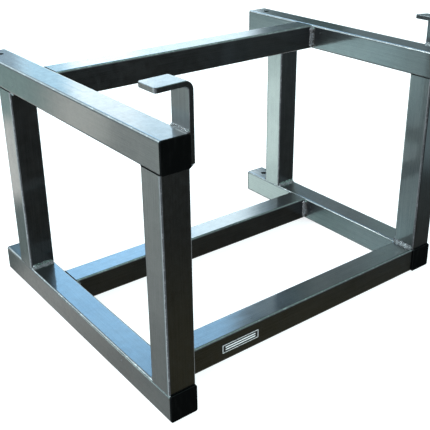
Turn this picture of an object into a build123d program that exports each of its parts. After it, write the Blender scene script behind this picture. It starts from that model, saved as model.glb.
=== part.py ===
"""Engine stand: two welded side frames of square tube, joined by three cross members.

+X runs from the left side frame to the right one, -Y is the front and +Z is up.
The origin is on the floor, below the middle of the whole stand.
"""
from math import cos, radians, sin, sqrt
import os

from build123d import *

# ---- side frames ----
frame_width = 700  # outer face to outer face of the two side frames
frame_depth = 600  # length of the left rails
frame_height = 460  # floor to the supporting faces of the top rails
right_front_setback = 70  # the right rails start this far behind the left ones
rear_overhang = 65  # rail length behind the rear posts
cross_member_gap = 45  # clear distance from the middle cross members to the rear posts

# ---- square tube ----
tube_size = 50
tube_wall = 3
tube_corner = 4  # outside corner radius
tube_inner_corner = 1

# ---- vertical bolt holes in the rear overhangs ----
bolt_hole_diameter = 13
bolt_hole_to_end = 30  # hole centre to the rail's rear end

# ---- retaining hooks of bent flat bar ----
bar_width = 43
bar_thickness = 8
bend_inner_radius = 6
bar_corner = 5  # rounding of the free end's corners
bar_edge = 1  # rounding of the long edges
left_hook_height = 72  # supporting face to the top of the bend
left_hook_reach = 60  # outside of the leg to the free end
left_hook_tilt = -1.5  # rise of the upper arm towards its free end, degrees
left_hook_setback = 0  # front end of the rail to the hook
right_hook_height = 58
right_hook_reach = 48
right_hook_tilt = 5
right_hook_setback = 16

# ---- plastic end caps ----
cap_flange = 3
cap_edge = 1  # rounding of the flange's outer edge
cap_clearance = 0.2  # fins to the inside of the tube, each side
fin_height = 1.6
fin_thickness = 1.2
fin_pitch = 5
fin_count = 3
plug_wall = 2
plug_corner = 2
plug_lead = 2.5  # plain stretch at each end of the plug

# ---- blank label on the front lower cross member ----
label_length = 82
label_height = 19
label_thickness = 0.4
label_corner = 3
label_offset = 195  # left frame's outer face to the middle of the label

# ---- weld beads ----
weld_leg = 6
weld_bulge = 0.9  # how far a bead's face swells beyond flat
weld_rise = 3.5  # a groove bead's reach up a hook's leg

# ---- places that follow from the sizes above ----
hook_overhang = max(0, left_hook_reach - bar_thickness - tube_size)
overall_width = hook_overhang + frame_width + bar_thickness
left_face = hook_overhang - overall_width / 2
right_face = left_face + frame_width
left_inner_face = left_face + tube_size
right_inner_face = right_face - tube_size
left_front = -frame_depth / 2
right_front = left_front + right_front_setback
rear_end = left_front + frame_depth
rear_post_front = rear_end - rear_overhang - tube_size
mid_cross_front = rear_post_front - cross_member_gap - tube_size
top_rail_underside = frame_height - tube_size
half_tube = tube_size / 2
bottom_axis = half_tube
top_axis = frame_height - half_tube

os.makedirs("parts", exist_ok=True)


def save(part, name):
    """Label a finished piece and write it to its own file."""
    part.label = name
    export_step(part, f"parts/{name}.step")


def square_tube(start, length):
    """A tube that starts on a plane at the tube's axis and runs along the plane's normal."""
    inner_size = tube_size - 2 * tube_wall
    with BuildPart() as tube:
        with BuildSketch(start):
            RectangleRounded(tube_size, tube_size, tube_corner)
            RectangleRounded(inner_size, inner_size, tube_inner_corner, mode=Mode.SUBTRACT)
        extrude(amount=length)
    return tube.part


def rail(axis_x, front, axis_z):
    """A rail along Y with a vertical bolt hole through both walls near its rear end."""
    start = Plane(origin=(axis_x, front, axis_z), x_dir=(1, 0, 0), z_dir=(0, 1, 0))
    with BuildPart() as drilled:
        add(square_tube(start, rear_end - front))
        with Locations((axis_x, rear_end - bolt_hole_to_end, axis_z + half_tube)):
            Hole(radius=bolt_hole_diameter / 2)
    return drilled.part


def post(axis_x, front):
    """An upright tube between a bottom rail and a top rail."""
    foot = Plane(origin=(axis_x, front + half_tube, tube_size))
    return square_tube(foot, top_rail_underside - tube_size)


def cross_member(front, axis_z):
    """A tube along X between the inner faces of the side frames."""
    start = Plane(origin=(left_inner_face, front + half_tube, axis_z), x_dir=(0, 1, 0), z_dir=(1, 0, 0))
    return square_tube(start, right_inner_face - left_inner_face)


def end_cap(axis_x, end_y, axis_z, outward):
    """A cap pushed into a rail's end: a flange, and a hollow plug with gripping fins."""
    mouth = Plane(origin=(axis_x, end_y, axis_z), x_dir=(1, 0, 0), z_dir=(0, outward, 0))
    fin_size = tube_size - 2 * (tube_wall + cap_clearance)
    plug_size = fin_size - 2 * fin_height
    plug_bore = plug_size - 2 * plug_wall
    plug_length = 2 * plug_lead + (fin_count - 1) * fin_pitch + fin_thickness
    with BuildPart() as cap:
        with BuildSketch(mouth):
            RectangleRounded(tube_size, tube_size, tube_corner)
        extrude(amount=cap_flange)
        outer_face = cap.faces().sort_by(Axis(mouth.origin, mouth.z_dir))[-1]
        fillet(outer_face.edges(), radius=cap_edge)
        with BuildSketch(mouth):
            RectangleRounded(plug_size, plug_size, plug_corner)
            RectangleRounded(plug_bore, plug_bore, plug_corner / 2, mode=Mode.SUBTRACT)
        extrude(amount=-plug_length)
        for fin in range(fin_count):
            with BuildSketch(mouth.offset(-plug_lead - fin * fin_pitch)):
                RectangleRounded(fin_size, fin_size, tube_inner_corner)
                RectangleRounded(plug_size, plug_size, plug_corner, mode=Mode.SUBTRACT)
            extrude(amount=-fin_thickness)
    return cap.part


def retaining_hook(rail_side, front, height, reach, tilt):
    """A flat bar that stands on a rail's right-hand side and bends back over the rail."""
    leg_x = rail_side + bar_thickness / 2
    leg_bottom = top_rail_underside + tube_corner
    bend_z = frame_height + height - bar_thickness / 2
    arm_length = reach - bar_thickness / 2
    arm_tip = (leg_x - arm_length * cos(radians(tilt)), bend_z + arm_length * sin(radians(tilt)))
    with BuildPart() as hook:
        with BuildSketch(Plane.XZ.offset(-front)):
            with BuildLine():
                FilletPolyline(
                    (leg_x, leg_bottom),
                    (leg_x, bend_z),
                    arm_tip,
                    radius=bend_inner_radius + bar_thickness / 2,
                )
            trace(line_width=bar_thickness)
        extrude(amount=-bar_width)
        free_end = hook.faces().sort_by(Axis.X)[0]
        fillet(free_end.edges().filter_by(Axis.Y, reverse=True), radius=bar_corner)
        fillet(hook.faces().filter_by(Axis.Y).edges(), radius=bar_edge)
    return hook.part


def fillet_bead(middle, first, second, length):
    """A bead in a right-angled corner, with one leg along each of two square directions.

    The middle is that of the corner line, and the bead runs both ways from it.
    """
    joint = Vector(*first).cross(Vector(*second))
    crown = weld_leg / 2 + weld_bulge / sqrt(2)
    with BuildPart() as bead:
        with BuildSketch(Plane(origin=middle, x_dir=first, z_dir=joint)):
            with BuildLine():
                Line((0, 0), (weld_leg, 0))
                ThreePointArc((weld_leg, 0), (crown, crown), (0, weld_leg))
                Line((0, weld_leg), (0, 0))
            make_face()
        extrude(amount=length / 2, both=True)
    return bead.part


def hook_top_bead(rail_side, front):
    """A bead that fills the groove between a rail's rounded top corner and a hook's leg.

    It stays off the flat of the rail, so that a bracket can lie on the whole supporting face.
    """
    crown = (-tube_corner / 2, weld_rise / 2 + weld_bulge)
    origin = (rail_side, front, frame_height)
    with BuildPart() as bead:
        with BuildSketch(Plane(origin=origin, x_dir=(1, 0, 0), z_dir=(0, -1, 0))):
            with BuildLine():
                rail_corner = CenterArc((-tube_corner, -tube_corner), tube_corner, 90, -90)
                Line(rail_corner @ 1, (0, weld_rise))
                ThreePointArc((0, weld_rise), crown, rail_corner @ 0)
            make_face()
        extrude(amount=-bar_width)
    return bead.part


def hook_bottom_bead(rail_side, front):
    """A bead under a hook's leg, down to the middle of the rail's rounded bottom corner."""
    toe = bar_thickness - bar_edge
    origin = (rail_side, front + bar_edge, top_rail_underside)
    with BuildPart() as bead:
        with BuildSketch(Plane(origin=origin, x_dir=(1, 0, 0), z_dir=(0, -1, 0))):
            with BuildLine():
                rail_corner = CenterArc((-tube_corner, tube_corner), tube_corner, 0, -45)
                Line(rail_corner @ 1, (toe, tube_corner))
                Line((toe, tube_corner), rail_corner @ 0)
            make_face()
        extrude(amount=2 * bar_edge - bar_width)
    return bead.part


def save_beads(beads, name):
    """Write several separate beads as one node."""
    with BuildPart() as group:
        add(beads)
    save(group.part, name)


# ---- tubes ----
left_axis = left_face + half_tube
right_axis = right_face - half_tube
save(rail(left_axis, left_front, bottom_axis), "left_bottom_rail")
save(rail(left_axis, left_front, top_axis), "left_top_rail")
save(rail(right_axis, right_front, bottom_axis), "right_bottom_rail")
save(rail(right_axis, right_front, top_axis), "right_top_rail")
save(post(left_axis, left_front), "left_front_post")
save(post(left_axis, rear_post_front), "left_rear_post")
save(post(right_axis, right_front), "right_front_post")
save(post(right_axis, rear_post_front), "right_rear_post")
save(cross_member(right_front, bottom_axis), "front_lower_cross_member")
save(cross_member(mid_cross_front, bottom_axis), "rear_lower_cross_member")
save(cross_member(mid_cross_front, top_axis), "upper_cross_member")

# ---- hooks ----
left_hook_front = left_front + left_hook_setback
right_hook_front = right_front + right_hook_setback
left_hook = retaining_hook(
    left_inner_face, left_hook_front, left_hook_height, left_hook_reach, left_hook_tilt
)
right_hook = retaining_hook(
    right_face, right_hook_front, right_hook_height, right_hook_reach, right_hook_tilt
)
save(left_hook, "left_hook")
save(right_hook, "right_hook")

# ---- end caps ----
for side, axis_x, front in (("left", left_axis, left_front), ("right", right_axis, right_front)):
    for level, axis_z in (("bottom", bottom_axis), ("top", top_axis)):
        save(end_cap(axis_x, front, axis_z, -1), f"{side}_{level}_front_cap")
        save(end_cap(axis_x, rear_end, axis_z, 1), f"{side}_{level}_rear_cap")

# ---- label ----
label_centre = (left_face + label_offset, right_front, half_tube)
with BuildPart() as label:
    with BuildSketch(Plane(origin=label_centre, x_dir=(1, 0, 0), z_dir=(0, -1, 0))):
        RectangleRounded(label_length, label_height, label_corner)
    extrude(amount=label_thickness)
save(label.part, "label")

# ---- weld beads between posts and rails ----
flat_width = tube_size - 2 * tube_corner
back = (0, 1, 0)
forward = (0, -1, 0)
for side, axis_x, front in (("left", left_axis, left_front), ("right", right_axis, right_front)):
    beads = []
    for joint_z, away in ((tube_size, (0, 0, 1)), (top_rail_underside, (0, 0, -1))):
        beads.append(fillet_bead((axis_x, front + tube_size, joint_z), back, away, flat_width))
        beads.append(fillet_bead((axis_x, rear_post_front, joint_z), forward, away, flat_width))
        beads.append(fillet_bead((axis_x, rear_post_front + tube_size, joint_z), back, away, flat_width))
    save_beads(beads, f"{side}_frame_welds")


def cross_member_beads(front, axis_z):
    """The upright beads beside a cross member's ends."""
    back_face = front + tube_size
    beads = [
        fillet_bead((left_inner_face, front, axis_z), (1, 0, 0), forward, flat_width),
        fillet_bead((left_inner_face, back_face, axis_z), (1, 0, 0), back, flat_width),
        fillet_bead((right_inner_face, back_face, axis_z), (-1, 0, 0), back, flat_width),
    ]
    if front > right_front:
        beads.append(fillet_bead((right_inner_face, front, axis_z), (-1, 0, 0), forward, flat_width))
    return beads


# ---- weld beads at the cross members ----
post_foot = (right_inner_face, right_front + half_tube, tube_size)
foot_bead = fillet_bead(post_foot, (-1, 0, 0), (0, 0, 1), flat_width)
save_beads(cross_member_beads(right_front, bottom_axis) + [foot_bead], "front_lower_cross_welds")
save_beads(cross_member_beads(mid_cross_front, bottom_axis), "rear_lower_cross_welds")
save_beads(cross_member_beads(mid_cross_front, top_axis), "upper_cross_welds")

# ---- weld beads at the hooks ----
for side, rail_side, front in (
    ("left", left_inner_face, left_hook_front),
    ("right", right_face, right_hook_front),
):
    save_beads([hook_top_bead(rail_side, front), hook_bottom_bead(rail_side, front)], f"{side}_hook_welds")
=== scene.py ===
"""Looks of the engine stand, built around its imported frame.

Metres, in the frame's own axes: +X from the left side frame to the right one, -Y front, +Z up.
"""
import random
from math import cos, pi, radians, sin, sqrt

import bmesh
import bpy
from mathutils import Matrix, Vector, noise


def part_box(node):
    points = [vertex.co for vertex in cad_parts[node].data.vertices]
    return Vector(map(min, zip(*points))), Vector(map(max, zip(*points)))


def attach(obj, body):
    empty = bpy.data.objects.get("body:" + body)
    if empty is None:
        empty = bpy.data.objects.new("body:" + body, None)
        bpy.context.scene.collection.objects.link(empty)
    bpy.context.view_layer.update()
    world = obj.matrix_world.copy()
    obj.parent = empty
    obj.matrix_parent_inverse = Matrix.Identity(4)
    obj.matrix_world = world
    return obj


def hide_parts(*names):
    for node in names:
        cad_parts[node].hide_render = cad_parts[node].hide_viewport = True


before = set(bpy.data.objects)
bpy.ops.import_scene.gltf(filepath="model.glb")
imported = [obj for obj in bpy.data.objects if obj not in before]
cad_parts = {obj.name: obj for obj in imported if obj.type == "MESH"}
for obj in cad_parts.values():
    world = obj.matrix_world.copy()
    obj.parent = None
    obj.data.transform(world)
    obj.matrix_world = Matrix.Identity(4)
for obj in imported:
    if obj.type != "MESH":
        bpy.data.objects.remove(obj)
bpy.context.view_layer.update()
MM = 0.001

# ---- places worked out from the frame ----
left_rail_low, left_rail_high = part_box("left_top_rail")
right_rail_low, right_rail_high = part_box("right_top_rail")
left_hook_low, left_hook_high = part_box("left_hook")
tube = left_rail_high.x - left_rail_low.x
tube_corner = 4 * MM
flat_width = tube - 2 * tube_corner
left_inner_face = left_rail_high.x
right_inner_face = right_rail_low.x
supporting_face = left_rail_high.z
top_rail_underside = left_rail_low.z
bar_thickness = left_hook_high.x - left_inner_face

# ---- weld beads ----
WELD_LEG = 7.5 * MM
WELD_BULGE = 1.4 * MM
WELD_SINK = 0.8 * MM  # how far a bead reaches into the steel beside it
WELD_OVERRUN = 2 * MM  # past the flat, at each end
RIPPLE_PITCH = 3.6 * MM
RIPPLE_HEIGHT = 0.9 * MM
RIPPLE_LAG = 1.3  # how far a ripple's ends trail its middle, in ripples
SIZE_WANDER = 0.28  # share of its size by which a bead grows and shrinks
SIZE_WANDER_LENGTH = 7 * MM
LUMP_HEIGHT = 0.9 * MM
LUMP_LENGTH = 3 * MM
END_ROUNDING = 0.7  # length of a bead's rounded end, in legs
SLIGHT_BEAD = 0.35  # size of a bead that hardly shows, beside the others
RING_STEP = 0.3 * MM
RING_POINTS = 16

# ---- weld beads along the hooks, in the grooves beside the rails ----
GROOVE_POINTS = 10
GROOVE_RISE = 4 * MM  # up the hook's leg
GROOVE_BULGE = 0.9 * MM
GROOVE_LUMP_HEIGHT = 0.5 * MM
GROOVE_LUMP_LENGTH = 2.5 * MM
GROOVE_END = 2.5 * MM  # length of a rounded end
UNDER_RAIL = 1.2 * MM  # how far the lower bead reaches under the rail
UNDER_SWELL = -0.6  # it bulges down and to the right, less than the upper one


# ================================ materials ================================


def node(tree, kind, inputs=None, **settings):
    """A shader node with its settings and inputs, where an input may be another node's output."""
    made = tree.nodes.new("ShaderNode" + kind)
    for name, value in settings.items():
        setattr(made, name, value)
    for socket, value in (inputs or {}).items():
        if isinstance(value, bpy.types.NodeSocket):
            tree.links.new(value, made.inputs[socket])
        else:
            made.inputs[socket].default_value = value
    return made


def calculate(tree, operation, first, second=0.0):
    return node(tree, "Math", {0: first, 1: second}, operation=operation).outputs[0]


def fade(tree, value, from_low, from_high, to_low=0.0, to_high=1.0):
    """A smooth step from one value to another."""
    inputs = {"Value": value, 1: from_low, 2: from_high, 3: to_low, 4: to_high}
    return node(tree, "MapRange", inputs, interpolation_type="SMOOTHSTEP").outputs[0]


def blend(tree, factor, first, second):
    """A mix of two colours."""
    mix = node(tree, "Mix", data_type="RGBA")
    for socket, value in ((mix.inputs["Factor"], factor), (mix.inputs[6], first), (mix.inputs[7], second)):
        if isinstance(value, bpy.types.NodeSocket):
            tree.links.new(value, socket)
        else:
            socket.default_value = value
    return mix.outputs[2]


def noise_pattern(tree, size, stretch=(1, 1, 1), detail=2.0, roughness=0.5):
    """Noise of about the given size in metres, drawn out along an axis by a stretch above 1."""
    place = node(tree, "TexCoord").outputs["Object"]
    scale = Vector([1 / s for s in stretch])
    spread = node(tree, "Mapping", {"Vector": place, "Scale": scale}, vector_type="POINT")
    inputs = {"Vector": spread.outputs[0], "Scale": 1 / size, "Detail": detail, "Roughness": roughness}
    return node(tree, "TexNoise", inputs).outputs[0]


def bump(tree, height, depth, normal=None):
    """Relief of the given depth in metres."""
    made = node(tree, "Bump", {"Height": height, "Distance": depth, "Strength": 1.0})
    if normal is not None:
        tree.links.new(normal, made.inputs["Normal"])
    return made.outputs[0]


def rounded_edges(tree, profile_plane=None):
    """1 on a rounded edge and 0 on a flat face, from how far the surface turns from the axes.

    A bar bent in the XZ plane turns within it anywhere, so there only Y counts.
    """
    turned = node(tree, "NewGeometry").outputs["Normal"]
    x, y, z = node(tree, "SeparateXYZ", {0: turned}).outputs
    x, y, z = (calculate(tree, "ABSOLUTE", axis) for axis in (x, y, z))
    if profile_plane == "XZ":
        squares = [calculate(tree, "MULTIPLY", axis, axis) for axis in (x, z)]
        largest = calculate(tree, "MAXIMUM", y, calculate(tree, "SQRT", calculate(tree, "ADD", *squares)))
    else:
        largest = calculate(tree, "MAXIMUM", x, calculate(tree, "MAXIMUM", y, z))
    return fade(tree, largest, 0.995, 0.80)


def new_material(name):
    material = bpy.data.materials.new(name)
    material.use_nodes = True
    return material, material.node_tree, material.node_tree.nodes["Principled BSDF"]


def paint(name, along, bent=False, lumps=0.0, painted_shade=1.0, coat_roughness=0.06, coat_ior=1.5):
    """Dark grey metallic paint over rolled steel, whose fine drawing lines run along one axis.

    Lumps, in millimetres, deepen its relief, and a shade factor below 1 paints shade into the colour under
    its clear coat, darkening it.
    """
    material, tree, shader = new_material(name)
    drawn_out = [60 if axis == along else 1 for axis in "XYZ"]
    lines = noise_pattern(tree, 1.6 * MM, drawn_out, 3.0, 0.65)
    broad_lines = noise_pattern(tree, 9 * MM, drawn_out, 2.0, 0.5)
    grain = noise_pattern(tree, 0.7 * MM, detail=1.0)
    peel = noise_pattern(tree, 3.5 * MM, detail=2.0)
    clouds = noise_pattern(tree, 70 * MM, detail=4.0, roughness=0.6)
    patches = noise_pattern(tree, 12 * MM, detail=5.0, roughness=0.7)

    colour = blend(tree, fade(tree, clouds, 0.3, 0.7), (0.040, 0.044, 0.046, 1), (0.060, 0.063, 0.062, 1))
    colour = blend(tree, fade(tree, grain, 0.45, 0.75, 0.0, 0.5), colour, (0.11, 0.115, 0.115, 1))
    colour = blend(tree, fade(tree, lines, 0.35, 0.65, 0.0, 0.35), colour, (0.10, 0.10, 0.10, 1))
    edges = rounded_edges(tree, "XZ" if bent else None)
    # patchy lighter paint along the rounded edges: wear
    edge_wear_and_sheen = calculate(tree, "MULTIPLY", edges, fade(tree, patches, 0.48, 0.66))
    colour = blend(tree, calculate(tree, "MULTIPLY", edge_wear_and_sheen, 0.6), colour, (0.24, 0.25, 0.25, 1))
    # painted shade: the colour is darkened towards black by the shade factor
    colour = blend(tree, 1 - painted_shade, colour, (0, 0, 0, 1))
    tree.links.new(colour, shader.inputs["Base Color"])
    tree.links.new(fade(tree, patches, 0.3, 0.7, 0.30, 0.42), shader.inputs["Roughness"])

    relief = bump(tree, lines, 0.02 * MM)
    relief = bump(tree, broad_lines, 0.11 * MM, relief)
    relief = bump(tree, peel, (0.014 + lumps) * MM, relief)
    relief = bump(tree, grain, 0.006 * MM, relief)
    tree.links.new(relief, shader.inputs["Normal"])
    tree.links.new(relief, shader.inputs["Coat Normal"])
    shader.inputs["Metallic"].default_value = 1.0
    shader.inputs["Coat Weight"].default_value = 1.0
    shader.inputs["Coat Roughness"].default_value = coat_roughness
    shader.inputs["Coat IOR"].default_value = coat_ior
    return material


def cap_plastic():
    """Black polyethylene, matt, with a moulded texture, faint scuffs and a painted highlight along its
    rounded edges.
    """
    material, tree, shader = new_material("cap_plastic")
    texture = noise_pattern(tree, 0.6 * MM, detail=2.0)
    scuffs = noise_pattern(tree, 5 * MM, (1, 1, 6), 5.0, 0.7)
    colour = blend(tree, fade(tree, scuffs, 0.5, 0.75), (0.0016, 0.0018, 0.0018, 1), (0.005, 0.005, 0.005, 1))
    # painted highlight: the cap's rounded edges are coloured lighter, as a sheen along them
    edge_wear_and_sheen = calculate(tree, "MULTIPLY", rounded_edges(tree), 0.5)
    colour = blend(tree, edge_wear_and_sheen, colour, (0.018, 0.019, 0.020, 1))
    tree.links.new(colour, shader.inputs["Base Color"])
    tree.links.new(fade(tree, scuffs, 0.35, 0.7, 0.62, 0.48), shader.inputs["Roughness"])
    tree.links.new(bump(tree, texture, 0.03 * MM), shader.inputs["Normal"])
    shader.inputs["Specular IOR Level"].default_value = 0.012
    return material


def label_print():
    """A blank black label with a thin pale border and two plain pale lines."""
    material, tree, shader = new_material("label_print")
    low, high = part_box("label")
    middle, half = (low + high) / 2, (high - low) / 2
    x, _, z = node(tree, "SeparateXYZ", {0: node(tree, "TexCoord").outputs["Object"]}).outputs
    across = calculate(tree, "ABSOLUTE", calculate(tree, "SUBTRACT", x, middle.x))
    up = calculate(tree, "ABSOLUTE", calculate(tree, "SUBTRACT", z, middle.z))

    def inside(margin):
        """1 inside a rectangle that stays the margin from the label's edges."""
        sideways = fade(tree, across, half.x - margin + 0.1 * MM, half.x - margin - 0.1 * MM)
        upright = fade(tree, up, half.z - margin + 0.1 * MM, half.z - margin - 0.1 * MM)
        return calculate(tree, "MULTIPLY", sideways, upright)

    border = calculate(tree, "SUBTRACT", inside(1.6 * MM), inside(2.6 * MM))
    line_ends = fade(tree, across, half.x - 7.9 * MM, half.x - 8.1 * MM)
    line_edges = calculate(tree, "ABSOLUTE", calculate(tree, "SUBTRACT", up, 2.4 * MM))
    lines = calculate(tree, "MULTIPLY", line_ends, fade(tree, line_edges, 1.2 * MM, 1.0 * MM))
    wear = fade(tree, noise_pattern(tree, 2.2 * MM, detail=5.0, roughness=0.7), 0.3, 0.45)
    ink = calculate(tree, "MULTIPLY", calculate(tree, "MAXIMUM", border, lines), wear)
    film = blend(tree, noise_pattern(tree, 15 * MM), (0.010, 0.010, 0.011, 1), (0.018, 0.018, 0.019, 1))
    tree.links.new(blend(tree, ink, film, (0.80, 0.81, 0.80, 1)), shader.inputs["Base Color"])
    tree.links.new(fade(tree, ink, 0.0, 1.0, 0.28, 0.45), shader.inputs["Roughness"])
    tree.links.new(bump(tree, noise_pattern(tree, 1.5 * MM), 0.01 * MM), shader.inputs["Normal"])
    return material


# ================================ weld beads ================================


def bead_reach(share, along, seed):
    """How far a bead's surface is from its corner line, at a share of the quarter turn."""
    turn = share * pi / 2
    flat = WELD_LEG / (cos(turn) + sin(turn))
    swell = WELD_BULGE * sin(pi * share)
    phase = along / RIPPLE_PITCH + RIPPLE_LAG * (2 * share - 1) ** 2
    ripple = RIPPLE_HEIGHT * (abs(sin(pi * phase)) - 0.5) * sin(pi * share)
    size = 1 + SIZE_WANDER * noise.noise(Vector((along / SIZE_WANDER_LENGTH, share, seed)))
    lumps = LUMP_HEIGHT * noise.noise(Vector((along / LUMP_LENGTH, 3 * share, seed + 40)))
    return flat * size + swell + ripple + lumps * sin(pi * share)


def add_bead(mesh, middle, first, second, size, seed):
    """A rippled bead with rounded ends, in the corner between two square directions."""
    length = flat_width + 2 * WELD_OVERRUN
    middle, first, second = Vector(middle), Vector(first), Vector(second)
    along_axis = first.cross(second)
    corner = middle - (first + second) * WELD_SINK
    rings = round(length / RING_STEP)
    loops = []
    for ring in range(rings + 1):
        along = (ring / rings - 0.5) * length
        from_end = min(1.0, (length / 2 - abs(along)) / (WELD_LEG * END_ROUNDING))
        taper = max(0.02, sqrt(max(0.0, 1 - (1 - from_end) ** 2)))
        loop = [mesh.verts.new(corner + along_axis * along)]
        for point in range(RING_POINTS + 1):
            share = point / RING_POINTS
            reach = (bead_reach(share, along, seed) * size + WELD_SINK) * taper
            outward = first * cos(share * pi / 2) + second * sin(share * pi / 2)
            loop.append(mesh.verts.new(corner + along_axis * along + outward * reach))
        loops.append(loop)
    for before, after in zip(loops, loops[1:]):
        for i in range(len(before)):
            j = (i + 1) % len(before)
            mesh.faces.new((before[i], before[j], after[j], after[i]))
    mesh.faces.new(loops[0])
    mesh.faces.new(reversed(loops[-1]))


def add_drop(mesh, place, outward, radius):
    """A drop of spatter: a low dome, sunk into the face it stuck to."""
    outward = Vector(outward)
    flatten = Matrix.Scale(0.6, 4, outward)
    to_place = Matrix.Translation(Vector(place)) @ flatten
    bmesh.ops.create_icosphere(mesh, subdivisions=3, radius=radius, matrix=to_place)


def finish_piece(mesh, name, material, slot_name, *replaced):
    """Turn a bmesh into a smooth-shaded piece that stands for CAD nodes."""
    bmesh.ops.recalc_face_normals(mesh, faces=mesh.faces[:])
    data = bpy.data.meshes.new(name)
    mesh.to_mesh(data)
    mesh.free()
    data.shade_smooth()
    data.materials.append(material)
    piece = bpy.data.objects.new(name, data)
    bpy.context.scene.collection.objects.link(piece)
    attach(piece, "root")
    if replaced:
        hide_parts(*replaced)
    return piece


BACK, FORWARD, UP, DOWN = (0, 1, 0), (0, -1, 0), (0, 0, 1), (0, 0, -1)
RIGHT, LEFT = (1, 0, 0), (-1, 0, 0)


def side_frame_beads(side):
    """Beads across the rails, at both ends of each post, where one is slighter than the rest."""
    front_low, front_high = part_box(f"{side}_front_post")
    rear_low, rear_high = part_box(f"{side}_rear_post")
    axis_x = (front_low.x + front_high.x) / 2
    found = []
    for joint_z, away in ((front_low.z, UP), (front_high.z, DOWN)):
        slight = side == "right" and away == DOWN
        found.append(((axis_x, front_high.y, joint_z), BACK, away, SLIGHT_BEAD if slight else 1))
        found.append(((axis_x, rear_low.y, joint_z), FORWARD, away, 1))
        found.append(((axis_x, rear_high.y, joint_z), BACK, away, 1))
    return found


def cross_member_beads(member):
    """Upright beads beside a cross member's ends, where there is a corner to fill."""
    low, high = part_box(member)
    axis_z = (low.z + high.z) / 2
    found = [
        ((low.x, low.y, axis_z), RIGHT, FORWARD, 1),
        ((low.x, high.y, axis_z), RIGHT, BACK, 1),
        ((high.x, high.y, axis_z), LEFT, BACK, 1),
    ]
    if low.y > right_rail_low.y + tube / 2:
        found.append(((high.x, low.y, axis_z), LEFT, FORWARD, 1))
    return found


def foot_bead():
    """The bead on the inner side of the right front post's foot."""
    low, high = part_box("right_front_post")
    return [((low.x, (low.y + high.y) / 2, low.z), LEFT, UP, 1)]


def weld_group(node_name, beads, material, seed):
    mesh = bmesh.new()
    for i, (middle, first, second, size) in enumerate(beads):
        add_bead(mesh, middle, first, second, size, seed + 7.3 * i)
    return finish_piece(mesh, node_name.replace("_welds", "_beads"), material, "weld_paint", node_name)


def add_groove_bead(mesh, start, length, outline, seed):
    """A bead along Y with its own outline in XZ, rippled and lumpy on the side that shows.

    Each outline point is (x, z, how much it swells), and its rings bulge up and to the left.
    """
    rings = round(length / RING_STEP)
    loops = []
    for ring in range(rings + 1):
        along = ring / rings * length
        from_end = min(1.0, min(along, length - along) / GROOVE_END)
        taper = max(0.05, sqrt(max(0.0, 1 - (1 - from_end) ** 2)))
        loop = []
        for x, z, swell in outline:
            ripple = RIPPLE_HEIGHT * (abs(sin(pi * (along / RIPPLE_PITCH + swell * RIPPLE_LAG))) - 0.5)
            lumps = GROOVE_LUMP_HEIGHT * noise.noise(Vector((along / GROOVE_LUMP_LENGTH, swell, seed)))
            lift = (ripple + lumps) * swell * taper
            loop.append(mesh.verts.new(Vector(start) + Vector((x * taper - lift, along, z * taper + lift))))
        loops.append(loop)
    for before, after in zip(loops, loops[1:]):
        for i in range(len(before)):
            j = (i + 1) % len(before)
            mesh.faces.new((before[i], before[j], after[j], after[i]))
    mesh.faces.new(loops[0])
    mesh.faces.new(reversed(loops[-1]))


def hook_beads(side, rail_side, material, seed):
    """The beads above and below the joint between a hook's leg and its rail."""
    low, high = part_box(f"{side}_hook")
    top = [(1 * MM, -tube_corner, 0.0), (1 * MM, GROOVE_RISE, 0.0)]
    for i in range(GROOVE_POINTS + 1):
        share = i / GROOVE_POINTS
        swell = sin(pi * share)
        x = -tube_corner * share - 0.5 * MM * swell
        top.append((x, GROOVE_RISE * (1 - share) + GROOVE_BULGE * swell, swell))
    top.append((-tube_corner, -1 * MM, 0.0))
    mesh = bmesh.new()
    add_groove_bead(mesh, (rail_side, low.y, supporting_face), high.y - low.y, top, seed)
    foot_z = low.z - top_rail_underside
    bottom = [(bar_thickness - 1 * MM, foot_z + 0.5 * MM, 0.0)]
    for i in range(GROOVE_POINTS + 1):
        share = i / GROOVE_POINTS
        x = (bar_thickness - 1 * MM) * (1 - share) - UNDER_RAIL * share
        bottom.append((x, foot_z - (foot_z - UNDER_RAIL) * share, UNDER_SWELL * sin(pi * share)))
    bottom.append((-1 * MM, foot_z + 0.5 * MM, 0.0))
    add_groove_bead(mesh, (rail_side, low.y, top_rail_underside), high.y - low.y, bottom, seed + 9)
    return finish_piece(mesh, f"{side}_hook_beads", material, "weld_paint", f"{side}_hook_welds")


def spatter(material):
    """Drops thrown off while welding: some placed, and small ones around the joints."""
    mesh = bmesh.new()
    outer_x = left_rail_low.x
    for y, z, radius in ((168, 426, 1.3), (117, 421, 1.2), (147, 6, 0.9), (-158, 33, 1.1)):
        add_drop(mesh, (outer_x, y * MM, z * MM), LEFT, radius * MM)
    for y, z, radius in ((-69, 11, 1.1), (-106, 19, 1.2), (-94, 5, 1.0)):
        add_drop(mesh, (right_inner_face, y * MM, z * MM), LEFT, radius * MM)
    for x, y, radius in ((-123, -215, 1.2), (-69, -197, 0.9), (-45, -212, 0.8)):
        add_drop(mesh, (x * MM, y * MM, tube), UP, radius * MM)
    thrown = random.Random(4)
    cross_low, cross_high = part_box("upper_cross_member")
    lower_low, lower_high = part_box("rear_lower_cross_member")
    for low, high in ((cross_low, cross_high), (lower_low, lower_high)):
        for _ in range(7):
            y = low.y - thrown.uniform(9, 26) * MM
            z = thrown.uniform(low.z + 6 * MM, high.z - 6 * MM)
            add_drop(mesh, (right_inner_face, y, z), LEFT, thrown.uniform(0.4, 0.9) * MM)
    return finish_piece(mesh, "weld_spatter", material, "weld_paint")


# ================================ putting it together ================================

paints = {axis: paint(f"paint_along_{axis}", axis) for axis in "XYZ"}
bar_paint = paint("bar_paint", "Z", bent=True)
# the beads' paint is darkened, a painted shade that keeps them dark between their glints
weld_paint = paint("weld_paint", "X", lumps=0.08, painted_shade=0.35, coat_roughness=0.03, coat_ior=2.2)
plastic = cap_plastic()
print_film = label_print()

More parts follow.
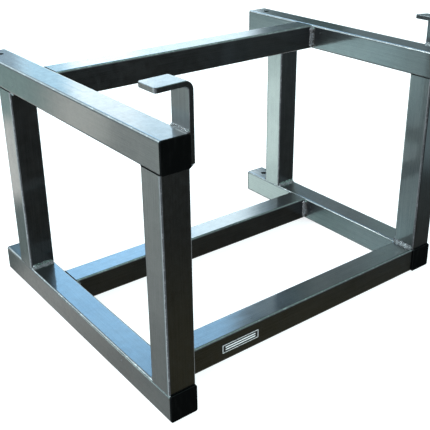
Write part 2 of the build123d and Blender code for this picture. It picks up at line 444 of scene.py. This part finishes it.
NODE_FINISHES = (
    ("cross_member", paints["X"]),
    ("rail", paints["Y"]),
    ("post", paints["Z"]),
    ("hook", bar_paint),
    ("cap", plastic),
    ("label", print_film),
)
for name, cad_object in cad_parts.items():
    for ending, material in NODE_FINISHES:
        if name.endswith(ending):
            for material_slot in cad_object.material_slots:
                material_slot.material = material

weld_group("left_frame_welds", side_frame_beads("left"), weld_paint, 1)
weld_group("right_frame_welds", side_frame_beads("right"), weld_paint, 2)
front_beads = cross_member_beads("front_lower_cross_member") + foot_bead()
weld_group("front_lower_cross_welds", front_beads, weld_paint, 3)
weld_group("rear_lower_cross_welds", cross_member_beads("rear_lower_cross_member"), weld_paint, 4)
weld_group("upper_cross_welds", cross_member_beads("upper_cross_member"), weld_paint, 5)
hook_beads("left", left_inner_face, weld_paint, 6)
hook_beads("right", right_rail_high.x, weld_paint, 8)
spatter(weld_paint)


# ================================ floor and light ================================


def floor():
    """A plain pale floor, lit a little from itself so that shadows stay faint.

    The paint mirrors the soft light below the horizon in place of the floor.
    """
    reach = 40
    mesh = bpy.data.meshes.new("floor")
    corners = [(-reach, -reach, 0), (reach, -reach, 0), (reach, reach, 0), (-reach, reach, 0)]
    mesh.from_pydata(corners, [], [(0, 1, 2, 3)])
    ground = bpy.data.objects.new("floor", mesh)
    bpy.context.scene.collection.objects.link(ground)
    material, tree, shader = new_material("floor")
    tint = noise_pattern(tree, 0.5, detail=3.0)
    colour = blend(tree, tint, (0.50, 0.50, 0.50, 1), (0.54, 0.54, 0.54, 1))
    tree.links.new(colour, shader.inputs["Base Color"])
    shader.inputs["Roughness"].default_value = 0.9
    shader.inputs["Specular IOR Level"].default_value = 0.1
    shader.inputs["Emission Color"].default_value = (1, 1, 1, 1)
    shader.inputs["Emission Strength"].default_value = 0.72
    mesh.materials.append(material)
    ground.visible_glossy = False
    ground.visible_shadow = False


# Soft panels of light all round, painted one over another: (azimuth from, to), (elevation from, to),
# softness of their edges in degrees, and colour. Azimuth 0 is +Y, the back, and 90 is +X.
PANELS = (
    # the upper half, dim to the right, where only the paint's tops look
    ((-180, 180), (0, 90), 8, (0.85, 1.0, 1.1)),
    ((41, 105), (-3, 22), 4, (0.20, 0.27, 0.29)),
    ((40.6, 47), (-3, 18), 1.5, (0.03, 0.06, 0.05)),
    ((40, 46), (22, 50), 3, (0.22, 0.32, 0.32)),
    ((45, 100), (22, 50), 3, (0.42, 0.50, 0.50)),
    ((50, 100), (22, 30), 3, (0.60, 0.85, 0.85)),
    # overhead, towards the front and right
    ((95, 175), (42, 80), 6, (1.5, 2.7, 2.4)),
    # the window at the back: white low down and blue above, and dimmer to the left
    ((-30, 23), (4, 24), 3, (0.50, 0.65, 0.75)),
    ((22.5, 39.8), (4, 24), 1.5, (1.75, 2.2, 2.4)),
    ((22.5, 26), (4, 24), 2, (0.95, 1.55, 1.9)),
    ((26, 31), (4, 24), 2, (2.6, 2.9, 2.95)),
    ((21, 38.5), (22, 50), 3, (2.0, 3.9, 5.9)),
    ((34, 40), (22, 29), 3, (5.0, 6.0, 6.4)),
    ((-8, 21.4), (25, 34), 1.5, (0.05, 0.16, 0.15)),
    # bright, at the back left: rounded edges and welds look there, and flat faces only by way of others
    ((-75, 9), (14, 62), 6, (2.0, 2.6, 2.9)),
    ((-60, -18), (20, 50), 6, (4.4, 5.3, 5.6)),
    ((-62, -46), (24, 33), 3, (12, 16, 16)),
    ((-42, -34), (41, 49), 1.5, (48, 50, 50)),
    # a small lamp at the front left, mostly painted over, which leaves glints in the upright welds
    ((-134, -127), (-13, -5), 1.5, (26, 28, 28)),
    # below the horizon, right round, dark at the front right
    ((0, 100), (-90, -4), 6, (0.50, 0.55, 0.58)),
    ((-180, -100), (-90, -4), 10, (0.42, 0.42, 0.42)),
    ((-152, -136), (-45, -10), 3, (1.4, 1.8, 2.1)),
    ((105, 175), (-90, -31), 8, (0.14, 0.13, 0.075)),
    ((105, 130), (-21.5, -4), 3, (0.7, 1.0, 1.1)),
    ((-36, -12), (-90, -6), 5, (0.74, 0.74, 0.72)),
    ((-36, -12), (-90, -34), 6, (0.42, 0.40, 0.38)),
    ((-24, -14), (-19, -6), 3, (0.42, 0.72, 0.70)),
    ((-28.5, -24.5), (-20.5, -12), 1.5, (1.70, 1.72, 1.62)),
    ((-22.5, -14), (-24, -18), 1.5, (1.75, 1.78, 1.72)),
    ((-25, -14), (-28.5, -24), 2, (0.17, 0.27, 0.27)),
    ((-20.1, 8), (-36, -24.5), 0.6, (0.0, 0.0, 0.0)),
    ((-60, -37), (-60, -6), 3, (1.15, 1.75, 1.85)),
    ((-51, -44), (-16.5, -6), 3, (2.4, 3.6, 3.8)),
    ((-60, -48), (-26, -18), 4, (0.95, 1.3, 1.35)),
    ((-48, -44), (-60, -20), 3, (0.45, 0.85, 0.85)),
    ((-44, -37), (-27, -13), 3, (4.7, 6.0, 5.8)),
    ((-44, -40.8), (-22, -15.5), 1.5, (6.6, 8.2, 7.9)),
    ((-100, -60), (-60, -6), 6, (1.9, 2.1, 2.2)),
    ((-98, -74), (-50, -6), 4, (3.8, 4.2, 4.6)),
)
DARK = (0.06, 0.06, 0.057, 1)


def surroundings():
    """Soft studio light from panels on every side, and plain white to the camera itself."""
    world = bpy.data.worlds.new("studio")
    bpy.context.scene.world = world
    world.use_nodes = True
    tree = world.node_tree
    background = tree.nodes["Background"]
    direction = node(tree, "TexCoord").outputs["Generated"]
    unit = node(tree, "VectorMath", {0: direction}, operation="NORMALIZE").outputs[0]
    x, y, z = node(tree, "SeparateXYZ", {0: unit}).outputs
    to_degrees = 180 / pi
    azimuth = calculate(tree, "MULTIPLY", calculate(tree, "ARCTAN2", x, y), to_degrees)
    elevation = calculate(tree, "MULTIPLY", calculate(tree, "ARCSINE", z), to_degrees)
    colour = DARK
    for (left, right), (bottom, top), soft, tint in PANELS:
        cover = 1.0
        for angle, low, high in ((azimuth, left, right), (elevation, bottom, top)):
            if low > -180 and low != -90:
                edge = fade(tree, angle, low - soft / 2, low + soft / 2)
                cover = calculate(tree, "MULTIPLY", cover, edge)
            if high < 180 and high != 90:
                edge = fade(tree, angle, high + soft / 2, high - soft / 2)
                cover = calculate(tree, "MULTIPLY", cover, edge)
        colour = blend(tree, cover, colour, (*tint, 1))
    seen = node(tree, "LightPath").outputs["Is Camera Ray"]
    tree.links.new(blend(tree, seen, colour, (1, 1, 1, 1)), background.inputs["Color"])


def camera():
    lens = bpy.data.cameras.new("camera")
    lens.lens = 62.94
    lens.sensor_width = 36
    lens.shift_x = -0.023
    lens.shift_y = -0.070
    lens.clip_end = 200
    eye = bpy.data.objects.new("camera", lens)
    eye.location = (-0.841, -1.069, 0.798)
    eye.rotation_euler = (radians(66.20), radians(0.28), radians(-37.90))
    bpy.context.scene.collection.objects.link(eye)
    bpy.context.scene.camera = eye


floor()
surroundings()
camera()
bpy.context.scene.view_settings.view_transform = "Standard"
